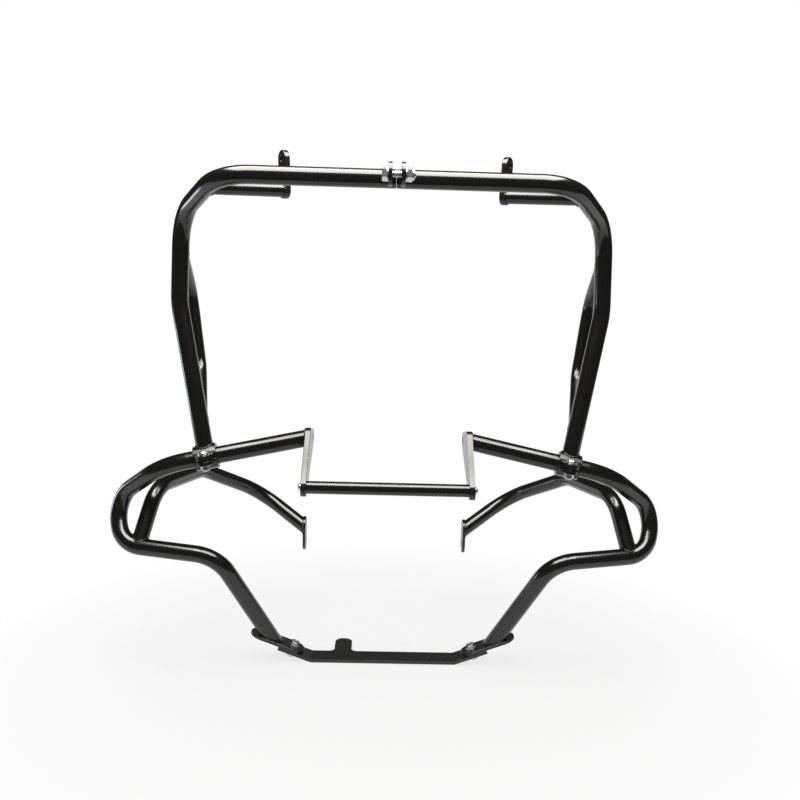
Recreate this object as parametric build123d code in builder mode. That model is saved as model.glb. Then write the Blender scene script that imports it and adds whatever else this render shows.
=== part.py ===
from build123d import *

import os
from math import cos, radians, sin

os.makedirs("parts", exist_ok=True)

# A set of crash bars for a motorcycle with a wide flat engine, in millimetres.
# +X is the rider's left, +Y is to the rear and +Z is up.
# The origin is the middle of the bottom strip's underside.
# Every welded tube end is coped to the face it stands on, so pieces meet without overlap.

# Tube stock
MAIN_OD = 25.0
MAIN_WALL = 2.0
REAR_OD = 24.0
REAR_WALL = 2.0
STAY_OD = 20.0
STAY_WALL = 2.0

# Upper bar, corner points of the tube's centre line on the left side
TOP_BAR_Y = -150.0
TOP_BAR_Z = 716.0
BAR_END_GAP = 3.0
CORNER_X = 234.0
SHOULDER = (305.0, -40.0, 673.0)
ELBOW = (310.0, -30.0, 546.0)
UPPER_RADII = [75.0, 65.0, 95.0]

# Lower loop, corner points of the tube's centre line on the left side
ARM_Y = -50.0
ARM_Z = 356.0
LOOP_TURN = (326.0, -65.0, 312.0)
LOOP_OUTER_TOP = (410.0, -10.0, 250.0)
LOOP_OUTER_LOW = (391.0, -45.0, 188.0)
LOOP_INNER_LOW = (248.0, -60.0, 177.0)
LEG_FOOT = (165.0, 6.0, 16.0)
LOOP_RADII = [98.0, 42.0, 42.0, 55.0]

# Rear tube, from the loop's outer low bend to the rear flange
REAR_JOINT_SHARE = 0.571
REAR_RISE = (351.0, 0.0, 267.0)
REAR_APEX = (311.0, 150.0, 266.0)
REAR_TURN = (228.0, 260.0, 207.0)
REAR_END = (140.0, 220.0, 151.0)
REAR_RADII = [55.0, 70.0, 70.0]

# Side stay, a bow behind each upper tube, given by shares of the straight runs it joins
SIDE_TOP_SHARE = 0.40
SIDE_LOW_SHARE = 0.80
SIDE_BOW_TOP = (310.0, 48.0, 564.0)
SIDE_BOW_LOW = (292.0, 32.0, 450.0)
SIDE_RADII = [45.0, 45.0]

# Upper mount stay and its tab
MOUNT_SHARE = 0.31
MOUNT_ANGLE = 30.0
MOUNT_LENGTH = 112.0
MOUNT_RISE = 6.0
TAB_WIDTH = 24.0
TAB_THICKNESS = 8.0
TAB_HOLE_RISE = 43.0

# Drop plates and the cross rod between them
DROP_INNER_X = 114.0
DROP_THICKNESS = 8.0
DROP_TOP_RADIUS = 14.0
DROP_EAR_RADIUS = 12.0
DROP_EAR_Y = 2.0
DROP_EAR_Z = 349.0
DROP_ROD_RADIUS = 13.0
ROD_Y = -115.0
ROD_Z = 295.0
ROD_OD = 18.0
ROD_TAP_DEPTH = 24.0

# Rear flanges
FLANGE_INNER_X = 140.0
FLANGE_THICKNESS = 5.0
FLANGE_WIDTH = 34.0
FLANGE_HOLE_DROP = 26.0

# Bottom strip with its ear
STRIP_WIDTH = 36.0
STRIP_THICKNESS = 5.0
STRIP_BEND_X = 111.0
STRIP_BEND_RADIUS = 14.0
STRIP_RISE_ANGLE = 20.0
STRIP_END_PAST_BOLT = 22.0
EAR_X = -63.0
EAR_WIDTH = 27.0
EAR_HOLE_Y = 58.0
EAR_ROOT_RADIUS = 9.0
STRIP_HOLE_X = 72.0

# Foot plates, bolted on the strip's raised ends
FOOT_BOLT_RUN = 32.0
FOOT_WIDTH = 36.0
FOOT_THICKNESS = 5.0
FOOT_LENGTH = 88.0

# Tube clamps at the feet of the upper bar
CLAMP_X = 264.0
CLAMP_LENGTH = 33.0
CLAMP_OUTER_RADIUS = 18.0
CLAMP_PLAY = 0.1
CLAMP_SPLIT = 2.0
CLAMP_BOLT_REACH = 25.0
TONGUE_WIDTH = 25.0
TONGUE_THICKNESS = 6.0

# Centre joint lugs
LUG_INNER_X = 6.0
LUG_THICKNESS = 5.0
LUG_RADIUS = 15.5
LUG_ROOT_RADIUS = 10.0
LUG_REACH = 24.0
LUG_RISE = 3.0

# Fasteners
M6 = 6.0
M8 = 8.0
M10 = 10.0
HOLE_PLAY = 1.0
THREAD_PLAY = 0.1
WASHER_PLAY = 0.4
M6_DOME_OD = 11.0
M6_DOME_HEIGHT = 4.5
M6_DOME_ROUND = 3.5
M6_SHANK = 28.0
M8_DOME_OD = 15.0
M8_DOME_HEIGHT = 5.0
M8_DOME_ROUND = 4.5
M8_WASHER_OD = 16.0
M8_WASHER_THICKNESS = 1.6
M8_HEX = 13.0
M8_HEAD_HEIGHT = 5.3
M8_NUT_HEIGHT = 6.5
M10_HEX = 17.0
M10_HEAD_HEIGHT = 6.4
M10_NUT_HEIGHT = 10.0
M10_WASHER_OD = 20.0
M10_WASHER_THICKNESS = 2.0
BOLT_END = 1.5

# Points and planes that follow from the sizes above
drop_outer_x = DROP_INNER_X + DROP_THICKNESS
flange_outer_x = FLANGE_INNER_X + FLANGE_THICKNESS
arm_start = Vector(DROP_INNER_X, ARM_Y, ARM_Z)
arm_turn = Vector(*LOOP_TURN)
arm_run = arm_turn - arm_start
arm_direction = arm_run.normalized()
clamp_share = (CLAMP_X - arm_start.X) / arm_run.X
clamp_centre = arm_start + arm_run * clamp_share
clamp_up = (Vector(0, 0, 1) - arm_direction * arm_direction.Z).normalized()
clamp_plane = Plane(origin=clamp_centre, x_dir=arm_direction, z_dir=clamp_up)
arm_plane = Plane(origin=clamp_centre, x_dir=clamp_plane.y_dir, z_dir=arm_direction)

bar_end = Vector(BAR_END_GAP / 2, TOP_BAR_Y, TOP_BAR_Z)
corner = Vector(CORNER_X, TOP_BAR_Y, TOP_BAR_Z)
shoulder = Vector(*SHOULDER)
elbow = Vector(*ELBOW)
mount_start = corner + (shoulder - corner) * MOUNT_SHARE
mount_run = Vector(-cos(radians(MOUNT_ANGLE)), sin(radians(MOUNT_ANGLE)), MOUNT_RISE / MOUNT_LENGTH)
mount_direction = mount_run.normalized()
mount_end = mount_start + mount_direction * MOUNT_LENGTH
tab_side = Vector(0, 0, 1).cross(mount_direction).normalized()
tab_plane = Plane(origin=mount_end, x_dir=tab_side, z_dir=mount_direction)
side_top = shoulder + (elbow - shoulder) * SIDE_TOP_SHARE
side_low = elbow + (clamp_centre - elbow) * SIDE_LOW_SHARE

rear_turn = Vector(*REAR_TURN)
rear_end = Vector(*REAR_END)
flange_share = (rear_turn.X - flange_outer_x) / (rear_turn.X - rear_end.X)
flange_centre = rear_turn + (rear_end - rear_turn) * flange_share

foot_slope = Vector(cos(radians(STRIP_RISE_ANGLE)), 0, sin(radians(STRIP_RISE_ANGLE)))
foot_normal = Vector(-sin(radians(STRIP_RISE_ANGLE)), 0, cos(radians(STRIP_RISE_ANGLE)))
strip_bend = Vector(STRIP_BEND_X, 0, STRIP_THICKNESS / 2)
foot_origin = strip_bend + foot_slope * FOOT_BOLT_RUN + foot_normal * (STRIP_THICKNESS / 2)
foot_plane = Plane(origin=foot_origin, x_dir=foot_slope, z_dir=foot_normal)
foot_spacing = FOOT_LENGTH - FOOT_WIDTH
strip_tip = strip_bend + foot_slope * (FOOT_BOLT_RUN + STRIP_END_PAST_BOLT)

lug_y = TOP_BAR_Y - LUG_REACH
lug_z = TOP_BAR_Z + LUG_RISE
lug_outer_x = LUG_INNER_X + LUG_THICKNESS

# Upper bar: the solid outline of the left tube, which the stays and the lug are coped to
with BuildPart() as upper_outline:
    with BuildLine() as upper_path:
        FilletPolyline(bar_end, corner, shoulder, elbow, clamp_centre, radius=UPPER_RADII)
    with BuildSketch(Plane(origin=upper_path.line @ 0, z_dir=upper_path.line % 0)):
        Circle(MAIN_OD / 2)
    sweep()

# Upper tube, coped at its foot to the clamp's round back
with BuildPart() as left_upper_tube:
    with BuildSketch(Plane(origin=upper_path.line @ 0, z_dir=upper_path.line % 0)):
        Circle(MAIN_OD / 2)
        Circle(MAIN_OD / 2 - MAIN_WALL, mode=Mode.SUBTRACT)
    sweep(path=upper_path.line)
    with Locations(arm_plane):
        Cylinder(CLAMP_OUTER_RADIUS, 2 * CLAMP_LENGTH, mode=Mode.SUBTRACT)
left_upper_tube.part.label = "left_upper_tube"
export_step(left_upper_tube.part, "parts/left_upper_tube.step")

with BuildPart() as right_upper_tube:
    mirror(left_upper_tube.part, about=Plane.YZ)
right_upper_tube.part.label = "right_upper_tube"
export_step(right_upper_tube.part, "parts/right_upper_tube.step")

# Side stay: a bow of smaller tube behind the upper tube
with BuildPart() as left_side_stay:
    with BuildLine() as side_path:
        FilletPolyline(side_top, SIDE_BOW_TOP, SIDE_BOW_LOW, side_low, radius=SIDE_RADII)
    with BuildSketch(Plane(origin=side_path.line @ 0, z_dir=side_path.line % 0)):
        Circle(STAY_OD / 2)
        Circle(STAY_OD / 2 - STAY_WALL, mode=Mode.SUBTRACT)
    sweep()
    add(upper_outline.part, mode=Mode.SUBTRACT)
left_side_stay.part.label = "left_side_stay"
export_step(left_side_stay.part, "parts/left_side_stay.step")

with BuildPart() as right_side_stay:
    mirror(left_side_stay.part, about=Plane.YZ)
right_side_stay.part.label = "right_side_stay"
export_step(right_side_stay.part, "parts/right_side_stay.step")

# Upper mount stay: a straight tube from the bar's shoulder inward to its tab
with BuildPart() as left_mount_stay:
    with BuildSketch(Plane(origin=mount_start, z_dir=mount_direction)):
        Circle(STAY_OD / 2)
        Circle(STAY_OD / 2 - STAY_WALL, mode=Mode.SUBTRACT)
    extrude(amount=MOUNT_LENGTH)
    add(upper_outline.part, mode=Mode.SUBTRACT)
left_mount_stay.part.label = "left_mount_stay"
export_step(left_mount_stay.part, "parts/left_mount_stay.step")

with BuildPart() as right_mount_stay:
    mirror(left_mount_stay.part, about=Plane.YZ)
right_mount_stay.part.label = "right_mount_stay"
export_step(right_mount_stay.part, "parts/right_mount_stay.step")

# Mount tab: a thick plate with round ends, square to the stay, with its bolt hole above
with BuildPart() as left_mount_tab:
    with BuildSketch(tab_plane):
        with Locations((0, TAB_HOLE_RISE / 2)):
            SlotCenterToCenter(TAB_HOLE_RISE, TAB_WIDTH, rotation=90)
        with Locations((0, TAB_HOLE_RISE)):
            Circle((M8 + HOLE_PLAY) / 2, mode=Mode.SUBTRACT)
    extrude(amount=TAB_THICKNESS)
left_mount_tab.part.label = "left_mount_tab"
export_step(left_mount_tab.part, "parts/left_mount_tab.step")

with BuildPart() as right_mount_tab:
    mirror(left_mount_tab.part, about=Plane.YZ)
right_mount_tab.part.label = "right_mount_tab"
export_step(right_mount_tab.part, "parts/right_mount_tab.step")

# Centre lug: a plate standing forward from the bar near its end
with BuildPart() as left_centre_lug:
    with BuildSketch(Plane.YZ.offset(LUG_INNER_X)):
        with Locations((lug_y, lug_z)):
            Circle(LUG_RADIUS)
        with Locations((TOP_BAR_Y, TOP_BAR_Z)):
            Circle(LUG_ROOT_RADIUS)
        make_hull()
        with Locations((TOP_BAR_Y, TOP_BAR_Z)):
            Circle(MAIN_OD / 2, mode=Mode.SUBTRACT)
        with Locations((lug_y, lug_z)):
            Circle((M10 + HOLE_PLAY) / 2, mode=Mode.SUBTRACT)
    extrude(amount=LUG_THICKNESS)
left_centre_lug.part.label = "left_centre_lug"
export_step(left_centre_lug.part, "parts/left_centre_lug.step")

with BuildPart() as right_centre_lug:
    mirror(left_centre_lug.part, about=Plane.YZ)
right_centre_lug.part.label = "right_centre_lug"
export_step(right_centre_lug.part, "parts/right_centre_lug.step")

# Centre bolt: hex head on the right, shank through both lugs to the nut on the left
centre_head_x = lug_outer_x + M10_WASHER_THICKNESS
centre_shank = 2 * centre_head_x + M10_NUT_HEIGHT + BOLT_END
with BuildPart() as centre_bolt:
    with BuildSketch(Plane.YZ.offset(-centre_head_x)):
        with Locations((lug_y, lug_z)):
            RegularPolygon(M10_HEX / 2, 6, major_radius=False)
    extrude(amount=-M10_HEAD_HEIGHT)
    with BuildSketch(Plane.YZ.offset(-centre_head_x)):
        with Locations((lug_y, lug_z)):
            Circle(M10 / 2)
    extrude(amount=centre_shank)
centre_bolt.part.label = "centre_bolt"
export_step(centre_bolt.part, "parts/centre_bolt.step")

with BuildPart() as centre_washers:
    with BuildSketch(Plane.YZ.offset(lug_outer_x), Plane.YZ.offset(-centre_head_x)):
        with Locations((lug_y, lug_z)):
            Circle(M10_WASHER_OD / 2)
            Circle((M10 + WASHER_PLAY) / 2, mode=Mode.SUBTRACT)
    extrude(amount=M10_WASHER_THICKNESS)
centre_washers.part.label = "centre_washers"
export_step(centre_washers.part, "parts/centre_washers.step")

with BuildPart() as centre_nut:
    with BuildSketch(Plane.YZ.offset(centre_head_x)):
        with Locations((lug_y, lug_z)):
            RegularPolygon(M10_HEX / 2, 6, major_radius=False)
            Circle((M10 + THREAD_PLAY) / 2, mode=Mode.SUBTRACT)
    extrude(amount=M10_NUT_HEIGHT)
centre_nut.part.label = "centre_nut"
export_step(centre_nut.part, "parts/centre_nut.step")

# Clamp: two half shells round the lower arm, with a bolted tongue in front and behind
with BuildPart() as left_clamp_upper:
    with BuildSketch(arm_plane):
        Circle(CLAMP_OUTER_RADIUS)
        with Locations((0, CLAMP_SPLIT / 2)):
            Rectangle(
                4 * CLAMP_OUTER_RADIUS,
                4 * CLAMP_OUTER_RADIUS,
                align=(Align.CENTER, Align.MAX),
                mode=Mode.SUBTRACT,
            )
    extrude(amount=CLAMP_LENGTH / 2, both=True)
    with BuildSketch(clamp_plane.offset(CLAMP_SPLIT / 2)):
        SlotCenterToCenter(2 * CLAMP_BOLT_REACH, TONGUE_WIDTH, rotation=90)
        with Locations((0, -CLAMP_BOLT_REACH), (0, CLAMP_BOLT_REACH)):
            Circle((M8 + HOLE_PLAY) / 2, mode=Mode.SUBTRACT)
    extrude(amount=TONGUE_THICKNESS)
    with Locations(arm_plane):
        Cylinder(MAIN_OD / 2 + CLAMP_PLAY, 2 * CLAMP_LENGTH, mode=Mode.SUBTRACT)
left_clamp_upper.part.label = "left_clamp_upper"
export_step(left_clamp_upper.part, "parts/left_clamp_upper.step")

with BuildPart() as right_clamp_upper:
    mirror(left_clamp_upper.part, about=Plane.YZ)
right_clamp_upper.part.label = "right_clamp_upper"
export_step(right_clamp_upper.part, "parts/right_clamp_upper.step")

with BuildPart() as left_clamp_lower:
    mirror(left_clamp_upper.part, about=clamp_plane)
left_clamp_lower.part.label = "left_clamp_lower"
export_step(left_clamp_lower.part, "parts/left_clamp_lower.step")

with BuildPart() as right_clamp_lower:
    mirror(left_clamp_lower.part, about=Plane.YZ)
right_clamp_lower.part.label = "right_clamp_lower"
export_step(right_clamp_lower.part, "parts/right_clamp_lower.step")

# Clamp fasteners: domed bolts from above, a washer each side, a nut below
clamp_face = CLAMP_SPLIT / 2 + TONGUE_THICKNESS
clamp_stack = clamp_face + M8_WASHER_THICKNESS
clamp_shank = 2 * clamp_stack + M8_NUT_HEIGHT + BOLT_END
clamp_axis = Axis(clamp_plane.origin, clamp_plane.z_dir)
with BuildPart(clamp_plane) as left_clamp_bolts:
    with Locations((0, -CLAMP_BOLT_REACH, clamp_stack), (0, CLAMP_BOLT_REACH, clamp_stack)):
        Cylinder(M8_DOME_OD / 2, M8_DOME_HEIGHT, align=(Align.CENTER, Align.CENTER, Align.MIN))
    fillet(edges().sort_by(clamp_axis)[-2:], radius=M8_DOME_ROUND)
    with Locations((0, -CLAMP_BOLT_REACH, clamp_stack), (0, CLAMP_BOLT_REACH, clamp_stack)):
        Cylinder(M8 / 2, clamp_shank, align=(Align.CENTER, Align.CENTER, Align.MAX))
left_clamp_bolts.part.label = "left_clamp_bolts"
export_step(left_clamp_bolts.part, "parts/left_clamp_bolts.step")

with BuildPart() as right_clamp_bolts:
    mirror(left_clamp_bolts.part, about=Plane.YZ)
right_clamp_bolts.part.label = "right_clamp_bolts"
export_step(right_clamp_bolts.part, "parts/right_clamp_bolts.step")

with BuildPart() as left_clamp_washers:
    with BuildSketch(clamp_plane.offset(clamp_face), clamp_plane.offset(-clamp_stack)):
        with Locations((0, -CLAMP_BOLT_REACH), (0, CLAMP_BOLT_REACH)):
            Circle(M8_WASHER_OD / 2)
            Circle((M8 + WASHER_PLAY) / 2, mode=Mode.SUBTRACT)
    extrude(amount=M8_WASHER_THICKNESS)
left_clamp_washers.part.label = "left_clamp_washers"
export_step(left_clamp_washers.part, "parts/left_clamp_washers.step")

with BuildPart() as right_clamp_washers:
    mirror(left_clamp_washers.part, about=Plane.YZ)
right_clamp_washers.part.label = "right_clamp_washers"
export_step(right_clamp_washers.part, "parts/right_clamp_washers.step")

with BuildPart() as left_clamp_nuts:
    with BuildSketch(clamp_plane.offset(-clamp_stack)):
        with Locations((0, -CLAMP_BOLT_REACH), (0, CLAMP_BOLT_REACH)):
            RegularPolygon(M8_HEX / 2, 6, major_radius=False)
            Circle((M8 + THREAD_PLAY) / 2, mode=Mode.SUBTRACT)
    extrude(amount=-M8_NUT_HEIGHT)
left_clamp_nuts.part.label = "left_clamp_nuts"
export_step(left_clamp_nuts.part, "parts/left_clamp_nuts.step")

with BuildPart() as right_clamp_nuts:
    mirror(left_clamp_nuts.part, about=Plane.YZ)
right_clamp_nuts.part.label = "right_clamp_nuts"
export_step(right_clamp_nuts.part, "parts/right_clamp_nuts.step")

# Lower loop: the solid outline of the left loop, which the rear tube is coped to
with BuildPart() as loop_outline:
    with BuildLine() as loop_path:
        FilletPolyline(
            arm_start,
            LOOP_TURN,
            LOOP_OUTER_TOP,
            LOOP_OUTER_LOW,
            LOOP_INNER_LOW,
            LEG_FOOT,
            radius=LOOP_RADII,
        )
    with BuildSketch(Plane(origin=loop_path.line @ 0, z_dir=loop_path.line % 0)):
        Circle(MAIN_OD / 2)
    sweep()

# Loop tube, cut flat on the drop plate's outer face and on the foot plate's top
with BuildPart() as left_loop_tube:
    with BuildSketch(Plane(origin=loop_path.line @ 0, z_dir=loop_path.line % 0)):
        Circle(MAIN_OD / 2)
        Circle(MAIN_OD / 2 - MAIN_WALL, mode=Mode.SUBTRACT)
    sweep(path=loop_path.line)
    split(bisect_by=Plane.YZ.offset(drop_outer_x), keep=Keep.TOP)
    split(bisect_by=foot_plane.offset(FOOT_THICKNESS), keep=Keep.TOP)
left_loop_tube.part.label = "left_loop_tube"
export_step(left_loop_tube.part, "parts/left_loop_tube.step")

with BuildPart() as right_loop_tube:
    mirror(left_loop_tube.part, about=Plane.YZ)
right_loop_tube.part.label = "right_loop_tube"
export_step(right_loop_tube.part, "parts/right_loop_tube.step")

# Rear tube: rises from the loop, runs back beside the engine and turns in to its flange
with BuildPart() as left_rear_tube:
    with BuildLine() as rear_path:
        FilletPolyline(
            loop_path.line @ REAR_JOINT_SHARE,
            REAR_RISE,
            REAR_APEX,
            rear_turn,
            rear_end,
            radius=REAR_RADII,
        )
    with BuildSketch(Plane(origin=rear_path.line @ 0, z_dir=rear_path.line % 0)):
        Circle(REAR_OD / 2)
        Circle(REAR_OD / 2 - REAR_WALL, mode=Mode.SUBTRACT)
    sweep()
    split(bisect_by=Plane.YZ.offset(flange_outer_x), keep=Keep.TOP)
    add(loop_outline.part, mode=Mode.SUBTRACT)
left_rear_tube.part.label = "left_rear_tube"
export_step(left_rear_tube.part, "parts/left_rear_tube.step")

with BuildPart() as right_rear_tube:
    mirror(left_rear_tube.part, about=Plane.YZ)
right_rear_tube.part.label = "right_rear_tube"
export_step(right_rear_tube.part, "parts/right_rear_tube.step")

# Rear flange: a plate with round ends, its bolt hole below the tube
with BuildPart() as left_rear_flange:
    with BuildSketch(Plane.YZ.offset(FLANGE_INNER_X)):
        with Locations((flange_centre.Y, flange_centre.Z - FLANGE_HOLE_DROP / 2)):
            SlotCenterToCenter(FLANGE_HOLE_DROP, FLANGE_WIDTH, rotation=90)
        with Locations((flange_centre.Y, flange_centre.Z - FLANGE_HOLE_DROP)):
            Circle((M10 + HOLE_PLAY) / 2, mode=Mode.SUBTRACT)
    extrude(amount=FLANGE_THICKNESS)
left_rear_flange.part.label = "left_rear_flange"
export_step(left_rear_flange.part, "parts/left_rear_flange.step")

with BuildPart() as right_rear_flange:
    mirror(left_rear_flange.part, about=Plane.YZ)
right_rear_flange.part.label = "right_rear_flange"
export_step(right_rear_flange.part, "parts/right_rear_flange.step")

# Drop plate: joins the arm's inner end, the engine bolt's ear behind it and the rod below
with BuildPart() as left_drop_plate:
    with BuildSketch(Plane.YZ.offset(DROP_INNER_X)):
        with Locations((ARM_Y, ARM_Z)):
            Circle(DROP_TOP_RADIUS)
        with Locations((DROP_EAR_Y, DROP_EAR_Z)):
            Circle(DROP_EAR_RADIUS)
        with Locations((ROD_Y, ROD_Z)):
            Circle(DROP_ROD_RADIUS)
        make_hull()
        with Locations((DROP_EAR_Y, DROP_EAR_Z)):
            Circle((M10 + HOLE_PLAY) / 2, mode=Mode.SUBTRACT)
        with Locations((ROD_Y, ROD_Z)):
            Circle((M6 + HOLE_PLAY) / 2, mode=Mode.SUBTRACT)
    extrude(amount=DROP_THICKNESS)
left_drop_plate.part.label = "left_drop_plate"
export_step(left_drop_plate.part, "parts/left_drop_plate.step")

with BuildPart() as right_drop_plate:
    mirror(left_drop_plate.part, about=Plane.YZ)
right_drop_plate.part.label = "right_drop_plate"
export_step(right_drop_plate.part, "parts/right_drop_plate.step")

# Cross rod: a round bar between the drop plates, tapped at both ends
with BuildPart() as cross_rod:
    with BuildSketch(Plane.YZ):
        with Locations((ROD_Y, ROD_Z)):
            Circle(ROD_OD / 2)
    extrude(amount=DROP_INNER_X, both=True)
    with BuildSketch(Plane.YZ.offset(DROP_INNER_X)):
        with Locations((ROD_Y, ROD_Z)):
            Circle((M6 + THREAD_PLAY) / 2)
    extrude(amount=-ROD_TAP_DEPTH, mode=Mode.SUBTRACT)
    with BuildSketch(Plane.YZ.offset(-DROP_INNER_X)):
        with Locations((ROD_Y, ROD_Z)):
            Circle((M6 + THREAD_PLAY) / 2)
    extrude(amount=ROD_TAP_DEPTH, mode=Mode.SUBTRACT)
cross_rod.part.label = "cross_rod"
export_step(cross_rod.part, "parts/cross_rod.step")

# Rod screw: a domed screw through the drop plate into the rod's end
with BuildPart() as left_rod_screw:
    with BuildSketch(Plane.YZ.offset(drop_outer_x)):
        with Locations((ROD_Y, ROD_Z)):
            Circle(M6_DOME_OD / 2)
    extrude(amount=M6_DOME_HEIGHT)
    fillet(edges().sort_by(Axis.X)[-1:], radius=M6_DOME_ROUND)
    with BuildSketch(Plane.YZ.offset(drop_outer_x)):
        with Locations((ROD_Y, ROD_Z)):
            Circle(M6 / 2)
    extrude(amount=-M6_SHANK)
left_rod_screw.part.label = "left_rod_screw"
export_step(left_rod_screw.part, "parts/left_rod_screw.step")

with BuildPart() as right_rod_screw:
    mirror(left_rod_screw.part, about=Plane.YZ)
right_rod_screw.part.label = "right_rod_screw"
export_step(right_rod_screw.part, "parts/right_rod_screw.step")

# Bottom strip: a flat bar with both ends bent up and an ear to the rear on the right side
right_foot_plane = Plane(
    origin=(-foot_origin.X, 0, foot_origin.Z),
    x_dir=(-foot_slope.X, 0, foot_slope.Z),
    z_dir=(-foot_normal.X, 0, foot_normal.Z),
)
with BuildPart() as bottom_strip:
    with BuildLine() as strip_path:
        FilletPolyline(
            (-strip_tip.X, 0, strip_tip.Z),
            (-strip_bend.X, 0, strip_bend.Z),
            strip_bend,
            strip_tip,
            radius=STRIP_BEND_RADIUS,
        )
    with BuildSketch(Plane(origin=strip_path.line @ 0, x_dir=(0, 1, 0), z_dir=strip_path.line % 0)):
        Rectangle(STRIP_WIDTH, STRIP_THICKNESS)
    sweep()
    with BuildSketch(Plane.XY) as ear_sketch:
        with Locations((EAR_X, 0)):
            Rectangle(EAR_WIDTH + 4 * EAR_ROOT_RADIUS, STRIP_WIDTH)
            Rectangle(EAR_WIDTH, EAR_HOLE_Y, align=(Align.CENTER, Align.MIN))
        ear_roots = ear_sketch.vertices().filter_by_position(Axis.Y, STRIP_WIDTH / 2, STRIP_WIDTH / 2)
        fillet(ear_roots.sort_by(Axis.X)[1:3], radius=EAR_ROOT_RADIUS)
        with Locations((EAR_X, EAR_HOLE_Y)):
            Circle(EAR_WIDTH / 2)
    extrude(amount=STRIP_THICKNESS)
    with BuildSketch(Plane.XY):
        with Locations((EAR_X, EAR_HOLE_Y), (STRIP_HOLE_X, 0)):
            Circle((M8 + HOLE_PLAY) / 2)
    extrude(amount=STRIP_THICKNESS, mode=Mode.SUBTRACT)
    with BuildSketch(foot_plane, right_foot_plane):
        Circle((M8 + HOLE_PLAY) / 2)
    extrude(amount=-STRIP_THICKNESS, mode=Mode.SUBTRACT)
bottom_strip.part.label = "bottom_strip"
export_step(bottom_strip.part, "parts/bottom_strip.step")

# Foot plate: carries the loop's leg and bolts on the strip's raised end
with BuildPart() as left_foot_plate:
    with BuildSketch(foot_plane):
        with Locations((foot_spacing / 2, 0)):
            SlotCenterToCenter(foot_spacing, FOOT_WIDTH)
        Circle((M8 + HOLE_PLAY) / 2, mode=Mode.SUBTRACT)
    extrude(amount=FOOT_THICKNESS)
left_foot_plate.part.label = "left_foot_plate"
export_step(left_foot_plate.part, "parts/left_foot_plate.step")

with BuildPart() as right_foot_plate:
    mirror(left_foot_plate.part, about=Plane.YZ)
right_foot_plate.part.label = "right_foot_plate"
export_step(right_foot_plate.part, "parts/right_foot_plate.step")

# Foot fasteners: a hex bolt down through plate and strip, washers and a nut under the strip
foot_top = FOOT_THICKNESS + M8_WASHER_THICKNESS
foot_under = STRIP_THICKNESS + M8_WASHER_THICKNESS
foot_shank = foot_top + foot_under + M8_NUT_HEIGHT + BOLT_END
with BuildPart() as left_foot_bolt:
    with BuildSketch(foot_plane.offset(foot_top)):
        RegularPolygon(M8_HEX / 2, 6, major_radius=False)
    extrude(amount=M8_HEAD_HEIGHT)
    with BuildSketch(foot_plane.offset(foot_top)):
        Circle(M8 / 2)
    extrude(amount=-foot_shank)
left_foot_bolt.part.label = "left_foot_bolt"
export_step(left_foot_bolt.part, "parts/left_foot_bolt.step")

with BuildPart() as right_foot_bolt:
    mirror(left_foot_bolt.part, about=Plane.YZ)
right_foot_bolt.part.label = "right_foot_bolt"
export_step(right_foot_bolt.part, "parts/right_foot_bolt.step")

with BuildPart() as left_foot_washers:
    with BuildSketch(foot_plane.offset(FOOT_THICKNESS), foot_plane.offset(-foot_under)):
        Circle(M8_WASHER_OD / 2)
        Circle((M8 + WASHER_PLAY) / 2, mode=Mode.SUBTRACT)
    extrude(amount=M8_WASHER_THICKNESS)
left_foot_washers.part.label = "left_foot_washers"
export_step(left_foot_washers.part, "parts/left_foot_washers.step")

with BuildPart() as right_foot_washers:
    mirror(left_foot_washers.part, about=Plane.YZ)
right_foot_washers.part.label = "right_foot_washers"
export_step(right_foot_washers.part, "parts/right_foot_washers.step")

with BuildPart() as left_foot_nut:
    with BuildSketch(foot_plane.offset(-foot_under)):
        RegularPolygon(M8_HEX / 2, 6, major_radius=False)
        Circle((M8 + THREAD_PLAY) / 2, mode=Mode.SUBTRACT)
    extrude(amount=-M8_NUT_HEIGHT)
left_foot_nut.part.label = "left_foot_nut"
export_step(left_foot_nut.part, "parts/left_foot_nut.step")

with BuildPart() as right_foot_nut:
    mirror(left_foot_nut.part, about=Plane.YZ)
right_foot_nut.part.label = "right_foot_nut"
export_step(right_foot_nut.part, "parts/right_foot_nut.step")
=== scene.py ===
import logging
import math
from collections.abc import Callable
from dataclasses import dataclass, field
from enum import Enum, IntEnum

import bmesh
import bpy
from mathutils import Matrix, Vector


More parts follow.
